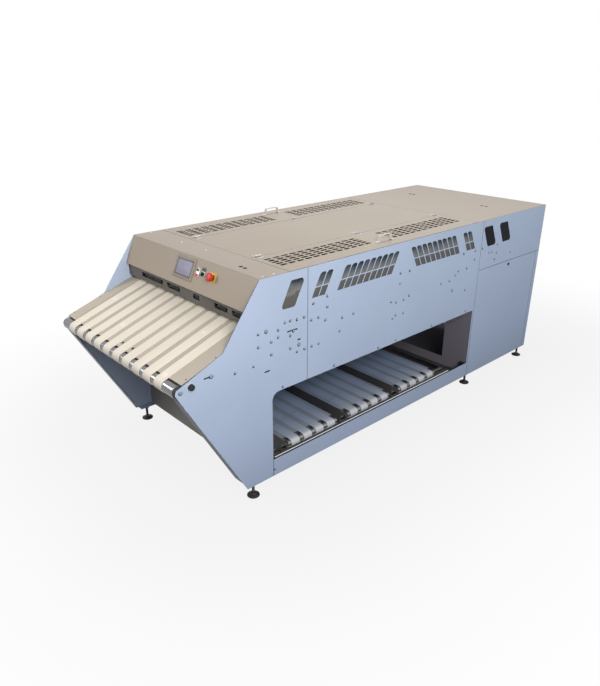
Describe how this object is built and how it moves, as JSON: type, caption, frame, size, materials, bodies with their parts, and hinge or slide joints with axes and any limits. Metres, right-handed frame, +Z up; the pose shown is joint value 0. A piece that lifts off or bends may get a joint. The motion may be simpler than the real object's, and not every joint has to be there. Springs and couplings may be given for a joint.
{
  "type": "linen folding machine",
  "caption": "Industrial linen folding machine with a sloped belt feed table, touch panel, hinged slotted roof lids, vented side panels and an open bay of side discharge belts.",
  "frame": {"origin": "on the floor under the middle of the machine", "axes": "+Y from the feed nose to the rear, +X to the side where the stacks come out, +Z up"},
  "size_m": [1.5283, 4.0946, 1.592],
  "materials": {
    "side_paint": "semi-gloss light blue-grey powder coat",
    "cover_paint": "semi-gloss warm grey powder coat",
    "frame_paint": "matt grey paint",
    "beam_paint": "matt dark grey paint",
    "pane": "clear smooth sheet",
    "belt": "matt cream woven belting",
    "roller_chrome": "polished",
    "steel": "bright zinc",
    "bearing_iron": "painted casting",
    "motor_paint": "grey-blue enamel",
    "gear_plastic": "moulded",
    "housing_plastic": "fine moulded grain",
    "screen": "smooth",
    "bezel_plastic": "moulded",
    "green_cap": "moulded",
    "red_cap": "moulded",
    "dark_cap": "moulded",
    "black_plastic": "moulded"
  },
  "bodies": {
    "machine_frame": {"blow_pipes": "steel", "cabinet_wall": "cover_paint", "centre_top_cover": "cover_paint", "control_gear": "gear_plastic", "control_plate": "steel", "fascia_panel": "cover_paint", "foot_pads": "black_plastic", "foot_stems": "steel", "frame_beams": "frame_paint", "frame_posts": "frame_paint", "front_lower_cover": "cover_paint", "front_top_cover": "cover_paint", "infeed_bed": "cover_paint", "infeed_belts": "belt", "infeed_gearmotor": "motor_paint", "left_base_rail": "side_paint", "left_bay_panel": "cover_paint", "left_front_plate": "side_paint", "left_middle_panel": "side_paint", "left_rear_panel": "side_paint", "lid_hinges": "steel", "mains_gland": "black_plastic", "rear_cover": "side_paint", "rear_top_cover": "cover_paint", "right_base_rail": "side_paint", "right_front_plate": "side_paint", "right_middle_panel": "side_paint", "right_rear_panel": "side_paint", "roller_bearings": "bearing_iron", "sensor_beam": "beam_paint", "stacker_beds": "frame_paint", "stacker_belts": "belt", "stacker_gearmotors": "motor_paint", "switch_bezels": "bezel_plastic", "touch_panel_housing": "housing_plastic", "touch_panel_screen": "screen", "transport_belt": "belt", "window_panes": "pane"},
    "nose_roller": {"nose_roller": "roller_chrome"},
    "infeed_drive_roller": {"infeed_drive_roller": "roller_chrome"},
    "transport_front_roller": {"transport_front_roller": "roller_chrome"},
    "transport_rear_roller": {"transport_rear_roller": "roller_chrome"},
    "fold_knife": {"fold_knife": "steel"},
    "right_lid": {"right_lid": "cover_paint", "right_lid_fittings": "cover_paint"},
    "left_lid": {"left_lid": "cover_paint", "left_lid_fittings": "cover_paint"},
    "cabinet_door": {"cabinet_door": "side_paint"},
    "door_lock": {"door_lock": "steel"},
    "start_button": {"start_button": "green_cap"},
    "stop_button": {"stop_button": "red_cap"},
    "selector_knob": {"selector_knob": "bezel_plastic"},
    "estop_button": {"estop_button": "red_cap"},
    "side_button": {"side_button": "dark_cap"},
    "stacker_1_outer_roller": {"stacker_1_outer_roller": "roller_chrome"},
    "stacker_1_inner_roller": {"stacker_1_inner_roller": "roller_chrome"},
    "stacker_2_outer_roller": {"stacker_2_outer_roller": "roller_chrome"},
    "stacker_2_inner_roller": {"stacker_2_inner_roller": "roller_chrome"},
    "stacker_3_outer_roller": {"stacker_3_outer_roller": "roller_chrome"},
    "stacker_3_inner_roller": {"stacker_3_inner_roller": "roller_chrome"}
  },
  "joints": [
    {"name": "infeed_drive_spin", "type": "hinge", "parent": "machine_frame", "child": "infeed_drive_roller", "pos_m": [0, -1.39978, 1.201], "axis": [1, 0, 0], "continuous": true},
    {"name": "nose_spin", "type": "hinge", "parent": "machine_frame", "child": "nose_roller", "pos_m": [0, -2.004, 0.99], "axis": [1, 0, 0], "continuous": true},
    {"name": "transport_rear_spin", "type": "hinge", "parent": "machine_frame", "child": "transport_rear_roller", "pos_m": [0, 0.56022, 1.15], "axis": [1, 0, 0], "continuous": true},
    {"name": "transport_front_spin", "type": "hinge", "parent": "machine_frame", "child": "transport_front_roller", "pos_m": [0, -1.28978, 1.15], "axis": [1, 0, 0], "continuous": true},
    {"name": "stacker_1_inner_spin", "type": "hinge", "parent": "machine_frame", "child": "stacker_1_inner_roller", "pos_m": [-0.65362, -0.873, 0.23162], "axis": [0, 1, 0], "continuous": true},
    {"name": "stacker_1_outer_spin", "type": "hinge", "parent": "machine_frame", "child": "stacker_1_outer_roller", "pos_m": [0.65362, -0.873, 0.23162], "axis": [0, 1, 0], "continuous": true},
    {"name": "stacker_2_inner_spin", "type": "hinge", "parent": "machine_frame", "child": "stacker_2_inner_roller", "pos_m": [-0.65362, -0.259, 0.23162], "axis": [0, 1, 0], "continuous": true},
    {"name": "stacker_2_outer_spin", "type": "hinge", "parent": "machine_frame", "child": "stacker_2_outer_roller", "pos_m": [0.65362, -0.259, 0.23162], "axis": [0, 1, 0], "continuous": true},
    {"name": "stacker_3_inner_spin", "type": "hinge", "parent": "machine_frame", "child": "stacker_3_inner_roller", "pos_m": [-0.65362, 0.355, 0.23162], "axis": [0, 1, 0], "continuous": true},
    {"name": "stacker_3_outer_spin", "type": "hinge", "parent": "machine_frame", "child": "stacker_3_outer_roller", "pos_m": [0.65362, 0.355, 0.23162], "axis": [0, 1, 0], "continuous": true},
    {"name": "fold_knife_rock", "type": "hinge", "parent": "machine_frame", "child": "fold_knife", "pos_m": [0, 0.76022, 1.2], "axis": [1, 0, 0], "range_deg": [-20, 20]},
    {"name": "right_lid_hinge", "type": "hinge", "parent": "machine_frame", "child": "right_lid", "pos_m": [0.355, -0.1225, 1.546], "axis": [0, -1, 0], "range_deg": [0, 100]},
    {"name": "left_lid_hinge", "type": "hinge", "parent": "machine_frame", "child": "left_lid", "pos_m": [-0.355, -0.1225, 1.546], "axis": [0, 1, 0], "range_deg": [0, 100]},
    {"name": "cabinet_door_tilt", "type": "hinge", "parent": "machine_frame", "child": "cabinet_door", "pos_m": [0.75, 1.501, 0.105], "axis": [0, 1, 0], "range_deg": [0, 20]},
    {"name": "door_lock_turn", "type": "hinge", "parent": "cabinet_door", "child": "door_lock", "pos_m": [0.75, 1.501, 1.072], "axis": [-1, 0, 0], "range_deg": [0, 90]},
    {"name": "start_button_press", "type": "slide", "parent": "machine_frame", "child": "start_button", "axis": [0, 0.9135, -0.4067], "range_m": [0, 0.003], "stiffness_N_per_m": 500},
    {"name": "stop_button_press", "type": "slide", "parent": "machine_frame", "child": "stop_button", "axis": [0, 0.9135, -0.4067], "range_m": [0, 0.003], "stiffness_N_per_m": 500},
    {"name": "estop_button_press", "type": "slide", "parent": "machine_frame", "child": "estop_button", "axis": [0, 0.9135, -0.4067], "range_m": [0, 0.006], "stiffness_N_per_m": 800},
    {"name": "side_button_press", "type": "slide", "parent": "machine_frame", "child": "side_button", "axis": [-1, 0, 0], "range_m": [0, 0.005], "stiffness_N_per_m": 600},
    {"name": "selector_turn", "type": "hinge", "parent": "machine_frame", "child": "selector_knob", "pos_m": [0.219, -1.44361, 1.45478], "axis": [0, -0.9135, 0.4067], "range_deg": [-45, 45]}
  ],
  "couplings": [
    {"joint": "nose_spin", "follows": "infeed_drive_spin", "ratio": 1},
    {"joint": "transport_front_spin", "follows": "transport_rear_spin", "ratio": 1},
    {"joint": "stacker_1_outer_spin", "follows": "stacker_1_inner_spin", "ratio": 1},
    {"joint": "stacker_2_outer_spin", "follows": "stacker_2_inner_spin", "ratio": 1},
    {"joint": "stacker_3_outer_spin", "follows": "stacker_3_inner_spin", "ratio": 1}
  ]
}
